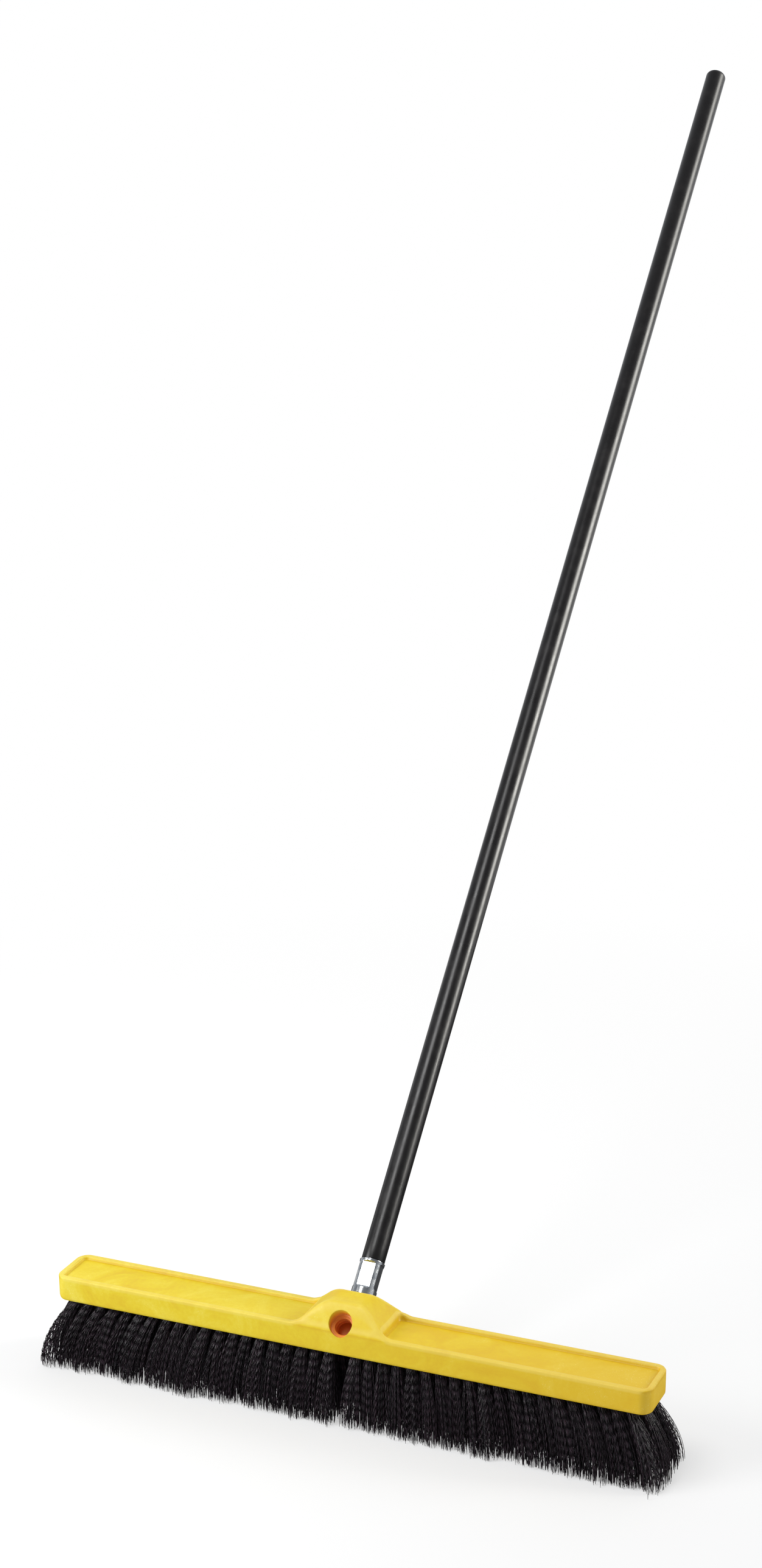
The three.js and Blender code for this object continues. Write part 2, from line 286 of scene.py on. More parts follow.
@dataclass(frozen=True)
class FoamPolypropylene(Finish):
    """Structural-foam polypropylene, injection moulded.

    Gas leaves faint pale swirls, the mould a fine orange peel, and handling short pale scuffs. The
    +X end is painted darker and more orange, as painted shade. Ridges are painted paler, part wear and
    part painted highlight; hollows are painted darker, as painted shade; and a socket is painted
    orange, a painted glow of light that has passed through the plastic.
    """

    body: str = "E3C91C"
    swirl: str = "E9D540"
    deep: str = "DDBB12"
    # painted shade: the +X end is painted towards this darker orange
    shade_amber: str = "DBA90D"
    scuffed: str = "F6E79A"
    # paler on ridges: part wear, part painted highlight
    ridge_wear_and_highlight: str = "F0DC78"
    # painted shade in the hollows and creases of the top
    hollow: str = "D6A808"
    # painted glow: light passed through the plastic, painted orange down a socket
    within: str = "E88A30"
    swirl_mm: float = 60.0
    mottle_mm: float = 4.0
    mottle_share: float = 0.22
    shade_ramp_mm: tuple[float, float] = (-100.0, 305.0)
    shade_ramp_share: float = 0.6
    scuff_mm: float = 2.2
    scuff_share: float = 0.6
    ridge_wear_and_highlight_share: float = 0.3
    hollow_shade_share: float = 0.45
    peel_mm: float = 0.9
    peel_depth_mm: float = 0.1

    def shader(self, tree: NodeTree) -> Node:
        """Adds the plastic's nodes.

        Args:
            tree: the node tree.

        Returns:
            The shader.
        """
        where = add_node(tree, "TexCoord").outputs["Object"]
        swirl, mottle, peel = (
            add_node(tree, "TexNoise", {"Scale": 1 / (size * MM), **rest}, {"Vector": where})
            for size, rest in (
                (self.swirl_mm, {"Detail": 5.0, "Roughness": 0.6, "Distortion": 1.4}),
                (self.mottle_mm, {"Detail": 3.0, "Roughness": 0.55}),
                (self.peel_mm, {"Detail": 2.0}),
            )
        )
        blend = add_node(
            tree, "Mix", {"data_type": "FLOAT", 0: self.mottle_share}, {2: swirl, 3: mottle},
        )
        colour = add_node(tree, "ValToRGB", links={"Fac": blend})
        fill_ramp(colour, [(0.36, self.deep), (0.5, self.body), (0.66, self.swirl)])
        for share, code in self.coats(tree, where, swirl):
            settings = {"data_type": "RGBA", 7: linear(code)}
            colour = add_node(tree, "Mix", settings, {0: share, 6: colour})
        height = add_node(tree, "Math", {"operation": "MULTIPLY_ADD", 1: 0.5}, {0: mottle, 2: peel})
        bump = add_node(
            tree, "Bump", {"Strength": 0.2, "Distance": self.peel_depth_mm * MM}, {"Height": height},
        )
        rough = add_node(tree, "MapRange", {"To Min": 0.4, "To Max": 0.56}, {"Value": mottle})
        return add_node(
            tree, "BsdfPrincipled", {"IOR": 1.49},
            {"Base Color": colour, "Roughness": rough, "Normal": bump},
        )

    def coats(
        self, tree: NodeTree, where: NodeSocket, swirl: Node,
    ) -> list[tuple[Node | NodeSocket, str]]:
        """What lies over the marbled tone.

        Args:
            tree: the node tree.
            where: the place on the object.
            swirl: the swirl noise, which gathers the scuffs in patches.

        Returns:
            The share and the sRGB colour of each, the lowest first.
        """
        ways = add_node(tree, "SeparateXYZ", links={"Vector": where})
        scuff = add_node(tree, "TexVoronoi", {"Scale": 1 / (self.scuff_mm * MM)}, {"Vector": where})
        relief, inside = (
            add_node(tree, "Attribute", {"attribute_name": name}).outputs["Fac"]
            for name in ("relief", "inside")
        )
        # painted shade: the colour darkens towards the +X end, between these two stops
        start, end = self.shade_ramp_mm
        shade_ramp, speck, patches, ridge, hollow = (
            add_node(tree, "MapRange", dict(zip(RANGE_INPUTS, limits)), {"Value": source})
            for source, *limits in (
                (ways, start * MM, end * MM, 0.0, self.shade_ramp_share),
                (scuff, 0.05, 0.24, self.scuff_share, 0.0),
                (swirl, 0.5, 0.66, 0.0, 1.0),
                # ridges painted paler: part wear, part painted highlight
                (relief, 0.47, 0.3, 0.0, self.ridge_wear_and_highlight_share),
                # hollows painted darker: painted shade
                (relief, 0.52, 0.68, 0.0, self.hollow_shade_share),
            )
        )
        scuffs = add_node(tree, "Math", {"operation": "MULTIPLY"}, {0: speck, 1: patches})
        return [
            (shade_ramp, self.shade_amber), (scuffs, self.scuffed), (ridge, self.ridge_wear_and_highlight), (hollow, self.hollow),
            # painted glow of light passed through the plastic, down a socket
            (inside, self.within),
        ]


@dataclass(frozen=True)
class ZincPlate(Finish):
    """Bright zinc plating on pressed steel: mirror-like, slightly blue, clouded, with faint draw marks."""

    bright: str = "D9DCDE"
    dull: str = "B9BEC4"
    cloud_mm: float = 6.0
    draw_mm: float = 0.5
    draw_depth_mm: float = 0.05

    def shader(self, tree: NodeTree) -> Node:
        """Adds the metal's nodes.

        Args:
            tree: the node tree.

        Returns:
            The shader.
        """
        where = add_node(tree, "TexCoord").outputs["Object"]
        cloud, marks = (
            add_node(tree, "TexNoise", {"Scale": 1 / (size * MM), "Detail": detail}, {"Vector": where})
            for size, detail in ((self.cloud_mm, 4.0), (self.draw_mm, 1.0))
        )
        tone = add_node(tree, "ValToRGB", links={"Fac": cloud})
        fill_ramp(tone, [(0.35, self.dull), (0.6, self.bright)])
        rough = add_node(tree, "MapRange", {"To Min": 0.1, "To Max": 0.22}, {"Value": cloud})
        bump = add_node(
            tree, "Bump", {"Strength": 0.08, "Distance": self.draw_depth_mm * MM}, {"Height": marks},
        )
        return add_node(
            tree, "BsdfPrincipled", {"Metallic": 1.0},
            {"Base Color": tone, "Roughness": rough, "Normal": bump},
        )


@dataclass(frozen=True)
class BlackLacquer(Finish):
    """Black lacquer dipped over a turned hardwood pole.

    The grain shows through as long shallow ridges, and rubbing leaves paler, duller patches.
    """

    axis: Vector = field(default_factory=lambda: Vector((0, 0, 1)))
    paint: str = "0C0A0B"
    worn: str = "1B1818"
    grain_mm: float = 1.6
    grain_stretch: float = 40.0
    grain_depth_mm: float = 0.15
    rub_mm: float = 22.0

    def shader(self, tree: NodeTree) -> Node:
        """Adds the lacquer's nodes.

        Args:
            tree: the node tree.

        Returns:
            The shader.
        """
        where = add_node(tree, "TexCoord").outputs["Object"]
        tilt = Vector((0, 0, 1)).rotation_difference(self.axis).to_euler()
        along = add_node(
            tree, "Mapping",
            {"vector_type": "TEXTURE", "Rotation": tilt, "Scale": (1.0, 1.0, self.grain_stretch)},
            {"Vector": where},
        )
        grain, rub = (
            add_node(tree, "TexNoise", {"Scale": 1 / (size * MM), **rest}, {"Vector": place})
            for size, rest, place in (
                (self.grain_mm, {"Detail": 4.0, "Roughness": 0.6}, along),
                (self.rub_mm, {"Detail": 6.0, "Roughness": 0.7}, where),
            )
        )
        worn, rough = (
            add_node(tree, "MapRange", dict(zip(RANGE_INPUTS, limits)), {"Value": rub})
            for limits in ((0.52, 0.78, 0.0, 0.8), (0.3, 0.7, 0.24, 0.38))
        )
        colour = add_node(
            tree, "Mix", {"data_type": "RGBA", 6: linear(self.paint), 7: linear(self.worn)}, {0: worn},
        )
        bump = add_node(
            tree, "Bump", {"Strength": 0.25, "Distance": self.grain_depth_mm * MM}, {"Height": grain},
        )
        return add_node(
            tree, "BsdfPrincipled", {"IOR": 1.5},
            {"Base Color": colour, "Roughness": rough, "Normal": bump},
        )


@dataclass(frozen=True)
class CrimpedFibre(Finish):
    """Black crimped polypropylene filament, extruded and cut: satin, with brown, violet and green casts.

    The attribute "cast" is a number from 0 to 1 for each fibre and picks its colour. The attribute
    "crest" is 1 on the crests of the crimp, which are painted pale as a painted highlight, and 0 in
    its troughs, which are painted dark as painted shade.
    """

    casts: tuple[str, ...] = ("151114", "31262E", "1E1F21", "3E3039")
    # painted shade in the troughs and painted highlight on the crests, as factors on the fibre's colour
    trough_shade_share: float = 0.3
    crest_highlight_share: float = 1.9

    def shader(self, tree: NodeTree) -> Node:
        """Adds the fibre's nodes.

        Args:
            tree: the node tree.

        Returns:
            The shader.
        """
        cast, crest = (
            add_node(tree, "Attribute", {"attribute_name": name}).outputs["Fac"]
            for name in ("cast", "crest")
        )
        tone = add_node(tree, "ValToRGB", links={"Fac": cast})
        fill_ramp(tone, [(i / (len(self.casts) - 1), code) for i, code in enumerate(self.casts)])
        # painted light: the colour is multiplied down in the troughs and up on the crests
        share = add_node(
            tree, "MapRange", {"To Min": self.trough_shade_share, "To Max": self.crest_highlight_share}, {"Value": crest},
        )
        colour = add_node(
            tree, "Mix", {"data_type": "RGBA", "blend_type": "MULTIPLY", 0: 1.0}, {6: tone, 7: share},
        )
        return add_node(
            tree, "BsdfPrincipled", {"IOR": 1.49, "Roughness": 0.34}, {"Base Color": colour},
        )


# Head


@dataclass(frozen=True)
class ScrewThread:
    """The coarse handle thread: five turns to the inch, a trapezoid ridge.

    Flank and crests are shares of the pitch; the tip's crest is narrower than the space in the socket.
    """

    pitch: float = 25.4 / 5
    radius: float = 9.5
    depth: float = 1.9
    flank: float = 0.14
    tip_crest: float = 0.24
    socket_crest: float = 0.5
    rings_per_turn: int = 24

    def ridge(self, station: Array, angle: Array, crest: float) -> Array:
        """Share of the depth: 1 within half a crest of the helix, then down the flank to 0."""
        turn = station / self.pitch - angle / TURN
        return np.clip((crest / 2 + self.flank - np.abs(turn - np.round(turn))) / self.flank, 0.0, 1.0)


@dataclass(frozen=True)
class HandleAxis:
    """The line that the handle screws in along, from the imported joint."""

    origin: Array
    direction: Array

    @classmethod
    def from_frame(cls) -> "HandleAxis":
        """Reads the unscrewing joint.

        Returns:
            Its line.
        """
        joint = next(j for j in frame["joints"] if j["name"] == "handle_unscrew")
        direction = np.array(joint["axis"], float)
        return cls(np.array(joint["pos_m"], float) / MM, direction / np.linalg.norm(direction))

    def place(self, points: Array, side: Side = Side.REAR) -> Array:
        """Carries points whose Z runs along the axis to the row's frame.

        Args:
            points: points about +Z, in millimetres.
            side: the socket's side; the front socket is the rear one turned half round about Z.

        Returns:
            The points in the row's frame.
        """
        ahead = self.direction * np.array([1.0, side.value, 1.0])
        across = np.array([1.0, 0.0, 0.0])
        basis = np.stack([across, np.cross(ahead, across), ahead])
        return points @ basis + self.origin


@dataclass
class Head:
    """The moulded block with its hub, its two pockets and its two threaded sockets. Millimetres.

    A wall leans in by wall_draft on its way down and then turns into the chamfer, chamfer_turn higher
    than the chamfer's size. Every quarter circle has arc_steps steps.
    """

    axis: HandleAxis
    thread: ScrewThread
    height: float = 25.0
    underside_width: float = 50.0
    chamfer: float = 4.0
    corner: float = 12.0
    chamfer_turn: float = 0.8
    wall_draft: float = 0.2
    arc_steps: int = 6
    edge: float = 1.5
    rim: float = 6.0
    pocket_depth: float = 3.0
    pocket_draft: float = 1.9
    pocket_corner: float = 4.5
    pocket_start: float = 41.0
    hub_plateau: float = 13.0
    hub_foot: float = 53.0
    hub_rise: float = 23.5
    hub_lean: float = 13.0
    hub_saddle: float = 1.5
    socket_floor: float = 11.0
    socket_shoulder: float = 27.0
    mouth_radius: float = 11.7
    mouth_lip: float = 0.5
    mouth_steps: int = 5
    socket_sides: int = 96
    lead_in: float = 1.2
    cutter_reach: float = 14.0
    follow_step: float = 0.05
    follow_end: float = 60.0
    ridge_blend: float = 9.0
    thread_play: float = 0.45
    relief_reach: float = 2.5
    hole_half: float = 14.0
    hole_shade: float = 7.0
    end_x: float = field(init=False)
    side_y: float = field(init=False)
    underside_z: float = field(init=False)

    def __post_init__(self) -> None:
        """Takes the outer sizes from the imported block."""
        low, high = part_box("block")
        self.end_x = high.x / MM
        self.side_y = high.y / MM
        self.underside_z = low.z / MM

    @property
    def rim_z(self) -> float:
        """Height of the rim round the pockets."""
        return self.underside_z + self.height

    def inside(self, x: Array, y: Array, end: float, side: float, radius: float) -> Array:
        """Distance in from the outline of a rounded rectangle, negative outside it.

        The rectangle without its corners is end - radius by side - radius, and the outline lies a
        radius out from it.

        Args:
            x: along the block.
            y: across it.
            end: half the rectangle's length.
            side: half its width.
            radius: its corners' radius.

        Returns:
            The distance at each point.
        """
        beyond_x = np.abs(x) - (end - radius)
        beyond_y = np.abs(y) - (side - radius)
        outside = np.hypot(np.maximum(beyond_x, 0.0), np.maximum(beyond_y, 0.0))
        within = np.minimum(np.maximum(beyond_x, beyond_y), 0.0)
        return radius - outside - within

    def bell(self, x: Array) -> Array:
        """The hub's outline from the front: flat in the middle, then half a cosine wave to its foot."""
        run = np.clip((np.abs(x) - self.hub_plateau) / (self.hub_foot - self.hub_plateau), 0.0, 1.0)
        return 0.5 * (1.0 + np.cos(np.pi * run))

    def pocket(self, x: Array, y: Array) -> Array:
        """Share of the pocket's depth: 1 on its floor, 0 on the rim, with a drafted wall between.

        Args:
            x: along the block.
            y: across it.

        Returns:
            The share at each point.
        """
        end = self.end_x - self.rim
        middle = (end + self.pocket_start) / 2
        length, width = (end - self.pocket_start) / 2, self.side_y - self.rim
        depth_in = self.inside(np.abs(x) - middle, y, length, width, self.pocket_corner)
        return smooth_step(depth_in, -self.pocket_draft / 2, self.pocket_draft / 2)

    def top(self, x: Array, y: Array) -> Array:
        """Height of the top.

        The crown is the bell less a cosine-shaped saddle; each face is a plane leaning in; the hub is the
        lesser of the two, the pockets are sunk in it, and the outer edge is a quarter circle.

        Args:
            x: along the block.
            y: across it.

        Returns:
            The height above the floor.
        """
        across = np.clip(y / (self.side_y - self.hub_lean), -1.0, 1.0)
        saddle = self.hub_saddle * np.cos(np.pi / 2 * across) * self.bell(x)
        crown = self.rim_z + self.hub_rise * self.bell(x) - saddle
        face = self.rim_z + (self.side_y - np.abs(y)) * self.hub_rise / self.hub_lean
        hub = np.minimum(crown, soft_min(crown, face, self.ridge_blend * self.bell(x) + 0.5))
        sunk = self.pocket(x, y)
        surface = hub * (1.0 - sunk) + (self.rim_z - self.pocket_depth) * sunk
        depth_in = np.clip(self.inside(x, y, self.end_x, self.side_y, self.corner), 0.0, self.edge)
        drop = self.edge - np.sqrt(self.edge ** 2 - (self.edge - depth_in) ** 2)
        return surface - drop

    def edge_lines(self, limit: float) -> list[float]:
        """Offsets in from an edge at equal angles round its quarter circle, outermost last."""
        angles = np.linspace(0.0, np.pi / 2, self.arc_steps + 1)[:-1]
        return [limit - self.edge * (1.0 - math.sin(a)) for a in angles] + [limit]

    def grid(self) -> tuple[Array, Array]:
        """The top's grid: fine on the hub and wherever a wall or an edge turns.

        Returns:
            x and y of the grid's points, as if the block had no rounded corners.
        """
        rim_x, rim_y = self.end_x - self.rim, self.side_y - self.rim
        lines = []
        for limit, half in (
            (self.end_x, lines_between([0.0, self.hub_foot + 2, rim_x - 7, rim_x + 2], [0.9, 4.0, 0.5])),
            (self.side_y, lines_between([0.0, rim_y - 2, rim_y + 2], [1.0, 0.4])),
        ):
            beyond = [value for value in self.edge_lines(limit) if value > half[-1] + 0.1]
            half = np.concatenate([half, beyond])
            lines.append(np.concatenate([-half[:0:-1], half]))
        return np.meshgrid(*lines, indexing="ij")

    def corner_trim(self, x: Array) -> Array:
        """How far the long sides draw in at x, along a quarter circle at each corner."""
        depth = np.clip((np.abs(x) - (self.end_x - self.corner)) / self.corner, 0.0, 1.0)
        return self.corner * (1.0 - np.sqrt(1.0 - depth ** 2))

    def skin(self) -> tuple[Array, list[Array]]:
        """The block without its sockets: a top grid, rings down the sides and a flat underside.

        Returns:
            The points and the faces.
        """
        x, y = self.grid()
        trimmed = y * (self.side_y - self.corner_trim(x)) / self.side_y
        top = np.stack([x, trimmed, self.top(x, trimmed)], axis=-1)
        rows, columns = x.shape
        index = np.arange(rows * columns).reshape(rows, columns)
        edge = np.concatenate([index[:-1, 0], index[-1, :-1], index[:0:-1, -1], index[0, :0:-1]])
        points = top.reshape(-1, 3)
        ring = points[edge]
        chamfer_top = self.underside_z + self.chamfer
        inset = (2 * self.side_y - self.underside_width) / 2
        # height and depth in of each ring: down the wall, then round the chamfer's quarter ellipse
        draft, chamfer_height = self.wall_draft, chamfer_top - self.underside_z
        levels = [
            (ring[:, 2] * (1 - share) + (chamfer_top + self.chamfer_turn) * share, draft * share)
            for share in np.linspace(0.0, 1.0, self.arc_steps + 1)[1:]
        ]
        levels += [
            (chamfer_top - chamfer_height * math.sin(t), draft + (inset - draft) * (1 - math.cos(t)))
            for t in np.linspace(0.0, np.pi / 2, self.arc_steps + 1)[1:]
        ]
        outward = self.outline_normal(ring)
        rings = []
        for height, depth in levels:
            moved = ring[:, :2] - outward * depth
            rings.append(np.column_stack([moved, np.broadcast_to(height, len(ring))]))
        walls = np.concatenate(rings)
        faces = [grid_quads(rows, columns, wrap=False)[:, ::-1]]
        order = np.concatenate([edge[None], len(points) + np.arange(len(walls)).reshape(len(levels), -1)])
        strip = grid_quads(len(levels) + 1, len(edge), wrap=True)
        faces.append(order.ravel()[strip][:, ::-1])
        underside = order[-1][::-1][None]
        return np.concatenate([points, walls]), [*faces, underside]

    def outline_normal(self, ring: Array) -> Array:
        """Outward directions in plan: along Y on the sides, X on the ends, fanned at the corners.

        Args:
            ring: points round the outline.

        Returns:
            One direction of x and y for each point.
        """
        middle = np.array([self.end_x, self.side_y]) - self.corner
        ahead = np.maximum(np.abs(ring[:, :2]) - middle, 0.0) * np.sign(ring[:, :2])
        return ahead / np.linalg.norm(ahead, axis=1, keepdims=True)

    def mouth_stations(self, side: Side, angle: Array) -> Array:
        """Where the mouth's wall comes out of the block.

        The wall is followed outwards in small steps, and the steps that are still inside are counted.

        Args:
            side: which socket.
            angle: angles about the axis, in one row.

        Returns:
            One row of stations along the axis.
        """
        step = self.follow_step
        station = np.arange(self.socket_shoulder, self.follow_end, step)[:, None]
        across, upward = self.mouth_radius * np.cos(angle), self.mouth_radius * np.sin(angle)
        wall = np.stack(np.broadcast_arrays(across, upward, station), axis=-1)
        x, y, z = np.moveaxis(self.axis.place(wall, side), -1, 0)
        within = (z < self.top(x, y)) & (np.abs(y) < self.side_y)
        return self.socket_shoulder + step * within.sum(axis=0, keepdims=True)

    def socket_cutter(self, side: Side) -> Object:
        """The space of one socket: threaded hole, shoulder, and a mouth out to the leaning face.

        Args:
            side: which socket.

        Returns:
            A closed body to cut away.
        """
        angle = np.arange(self.socket_sides)[None, :] * TURN / self.socket_sides
        # the thread
        thread, end = self.thread, self.socket_shoulder
        stations = np.arange(self.socket_floor, end, thread.pitch / thread.rings_per_turn)[:, None]
        root = thread.radius - thread.depth + self.thread_play
        crest = thread.radius + self.thread_play
        threaded = root + thread.depth * thread.ridge(stations, angle, thread.socket_crest)
        threaded = threaded + (crest - threaded) * smooth_step(stations, end - self.lead_in, end)
        shoulder = np.array([
            [end, crest + 0.4], [end + 0.1, self.mouth_radius - 0.3], [end + 0.5, self.mouth_radius],
        ])
        # the mouth follows the surface, and a quarter circle rounds its lip
        turn = np.linspace(0.0, np.pi / 2, self.mouth_steps + 1)
        lip = self.mouth_lip * np.stack([np.sin(turn) - 1.0, 1.0 - np.cos(turn)], axis=1)
        beyond = [[0.05, self.mouth_lip], [self.cutter_reach, self.mouth_lip + 0.5]]
        round_over = np.concatenate([lip, beyond])
        mouth_station = self.mouth_stations(side, angle) + round_over[:, :1]
        points, faces = turned_surface(
            self.socket_sides, (stations, threaded), (shoulder[:, :1], shoulder[:, 1:]),
            (mouth_station, self.mouth_radius + round_over[:, 1:]),
        )
        return place_piece("socket_cutter", self.axis.place(points, side), faces)

    def relief(self, x: Array, y: Array) -> Array:
        """How hollow the top is: the mean height a short way around less the height here, over that way.

        Args:
            x: along the block.
            y: across it.

        Returns:
            Less than 0 on ridges and edges, more than 0 in hollows.
        """
        reach = self.relief_reach
        ways = np.arange(8) * TURN / 8
        around = [self.top(x + reach * math.cos(w), y + reach * math.sin(w)) for w in ways]
        return (np.mean(around, axis=0) - self.top(x, y)) / reach

    def mark(self, mesh: Mesh) -> None:
        """Writes two attributes for the finish.

        "inside" is 0 on the outer skin and 1 well down a socket, where it paints the orange glow of light
        passed through the plastic. "relief" is 0.5 on flat plastic, less on ridges, which it paints paler
        as wear and painted highlight, and more in hollows of the top, which it paints darker as painted
        shade.

        Args:
            mesh: the cut block.
        """
        points = np.empty(len(mesh.vertices) * 3, np.float32)
        mesh.vertices.foreach_get("co", points)
        x, y, z = points.reshape(-1, 3).astype(float).T / MM
        depth = self.top(x, y) - z
        hole = (np.abs(x) < self.hole_half) & (np.abs(y) < self.side_y - 0.6) & (z > self.underside_z + 2.0)
        inside = np.where(hole, smooth_step(depth, 0.2, self.hole_shade), 0.0)
        skin = smooth_step(depth, 2.5, 0.4)
        relief = np.clip(0.5 + self.relief(x, y) * skin * (1.0 - inside), 0.0, 1.0)
        write_marks(mesh, inside=inside, relief=relief)

    def build(self, finish: Finish) -> Object:
        """Makes the block, cuts its sockets and dresses it.

        Args:
            finish: its finish.

        Returns:
            The piece.
        """
        head = place_piece("head", *self.skin())
        for side in Side:
            cutter = self.socket_cutter(side)
            cut = head.modifiers.new("socket", "BOOLEAN")
            cut.object = cutter
            cut.solver = "EXACT"
            graph = bpy.context.evaluated_depsgraph_get()
            cut_mesh = bpy.data.meshes.new_from_object(head.evaluated_get(graph))
            head.modifiers.clear()
            head.data = cut_mesh
            bpy.data.objects.remove(cutter)
        self.mark(head.data)
        return settle(head, finish.material(), "root", ["block"], sharp=50)


# Handle


@dataclass
class MetalTip:
    """The pressed cup round the pole's end: crimped flats, a shoulder and the thread. Millimetres."""

    axis: HandleAxis
    thread: ScrewThread
    start: float = 11.6
    cone_start: float = 27.6
    cone_end: float = 36.0
    flats_start: float = 46.6
    flats_end: float = 71.8
    rim: float = 74.6
    radius: float = 12.2
    apothem: float = 10.2
    bead: float = 0.1
    rim_round: float = 0.35
    flats: int = 4
    flat_turn: float = math.radians(6)
    bore: float = 9.0
    bore_start: float = 45.0
    sides: int = 192

    def radii(self, station: Array, angle: Array) -> Array:
        """Radius at a station and angle.

        Below the cone it is the thread. Above, it is the round cup, or the plane of a flat where that
        lies further in: the apothem over the cosine of the angle from the flat's middle. The rim has a
        small bead and is rounded over.

        Args:
            station: distance along the axis.
            angle: angle about it.

        Returns:
            The radius at each point.
        """
        ridge = self.thread.ridge(station, angle, self.thread.tip_crest)
        thread = self.thread.radius - self.thread.depth * (1 - ridge)
        run_out = smooth_step(station, self.cone_start - 1.0, self.cone_start + 0.6)
        start_in = smooth_step(station, self.start, self.start + 2.5)
        thread = (self.thread.radius - self.thread.depth) * (1 - start_in) + thread * start_in
        neck = self.thread.radius - 0.3
        cone = neck + (self.radius - neck) * smooth_step(station, self.cone_start - 4.0, self.cone_end)
        step = TURN / self.flats
        turned = angle - self.flat_turn
        from_flat = turned - np.round(turned / step) * step
        plane = self.apothem / np.cos(from_flat)
        beyond = 1.0 - smooth_step(station, self.flats_start - 2.5, self.flats_start + 1.5)
        beyond = beyond + smooth_step(station, self.flats_end - 0.8, self.flats_end + 1.6)
        plane = plane + (self.radius + 1.5 - plane) * beyond
        cup = soft_min(cone, plane, 0.12)
        bead = self.bead * np.exp(-(((station - (self.rim - 0.5)) / 0.5) ** 2))
        cup = cup + bead - self.rim_round * smooth_step(station, self.rim - self.rim_round, self.rim)
        return thread * (1 - run_out) + cup * run_out

    def build(self, finish: Finish) -> Object:
        """Makes the tip as one turned surface that folds in over the rim and down inside the cup.

        Args:
            finish: its finish.

        Returns:
            The piece.
        """
        angle = np.arange(self.sides)[None, :] * TURN / self.sides
        flats_in, flats_out = self.flats_start, self.flats_end
        outer = lines_between(
            [self.start, self.cone_start + 1, flats_in - 4, flats_in + 2, flats_out - 2, self.rim],
            [self.thread.pitch / self.thread.rings_per_turn, 0.8, 0.3, 1.5, 0.15],
        )[:, None]
        inner = np.array([
            [self.rim, self.bore + 2.9], [self.rim - 0.4, self.bore + 2.5],
            [self.rim - 1.2, self.bore + 2.5], [self.rim - 2.0, self.bore], [self.bore_start, self.bore],
        ])
        points, faces = turned_surface(
            self.sides, (outer, self.radii(outer, angle)), (inner[:, :1], inner[:, 1:]),
        )
        tip = place_piece("tip", self.axis.place(points), faces)
        return settle(tip, finish.material(), "tip", ["metal_tip"], sharp=40)


@dataclass
class Pole:
    """The turned wooden pole with its domed end, and the tenon inside the metal cup. Millimetres."""

    axis: HandleAxis
    rim: float = 74.6
    radius: float = 11.4
    tenon: float = 8.7
    tenon_start: float = 46.0
    visible: float = 1491.0
    dome: float = 6.5
    dome_power: float = 0.8
    dome_steps: int = 13
    ring_pitch: float = 12.0
    sides: int = 96

    def build(self, finish: Finish) -> Object:
        """Makes the pole: tenon, shoulder, a long straight body, and a dome as cosine to the dome_power.

        Args:
            finish: its finish.

        Returns:
            The piece.
        """
        start = self.rim + 0.3
        end = self.rim + self.visible
        turn = np.linspace(0.0, np.pi / 2, self.dome_steps + 1)[:-1]
        dome = np.stack([
            end - self.dome + self.dome * np.sin(turn), self.radius * np.cos(turn) ** self.dome_power,
        ], axis=1)
        body = lines_between([start + 0.8, end - self.dome - 1], [self.ring_pitch])
        foot = [
            [self.tenon_start, self.tenon - 0.5], [self.tenon_start + 0.5, self.tenon],
            [start, self.tenon], [start, self.radius - 0.5], [start + 0.3, self.radius - 0.1],
        ]
        shaft = np.stack([body, np.full(len(body), self.radius)], axis=1)
        profile = np.concatenate([foot, shaft, dome])
        points, faces = turned_surface(self.sides, (profile[:, :1], profile[:, 1:]))
        pole = place_piece("lacquered_pole", self.axis.place(points), faces)
        return settle(pole, finish.material(), "handle", ["pole"], sharp=40)


# Bristles


@dataclass(frozen=True)
class TuftGroup:
    """Ten neighbouring tufts of one row."""

    row: int
    half: Half
    place: int

    @property
    def node(self) -> str:
        """The CAD node that the tufts stand for."""
        side = self.half.name.lower()
        return f"tuft_row_{self.row + 1}_{side}_{('inner', 'outer')[self.place]}"

    @property
    def seed(self) -> int:
        """A number of its own for each group."""
        return 1000 + self.row * 10 + self.place * 2 + (1 if self.half is Half.RIGHT else 0)


@dataclass(frozen=True)
class TuftDetail:
    """How finely a tuft is made: its fibres, their crimped and bent stations, and their radius."""

    fibres: int
    waves: int
    per_wave: int
    radius: float
    bends: int = 3


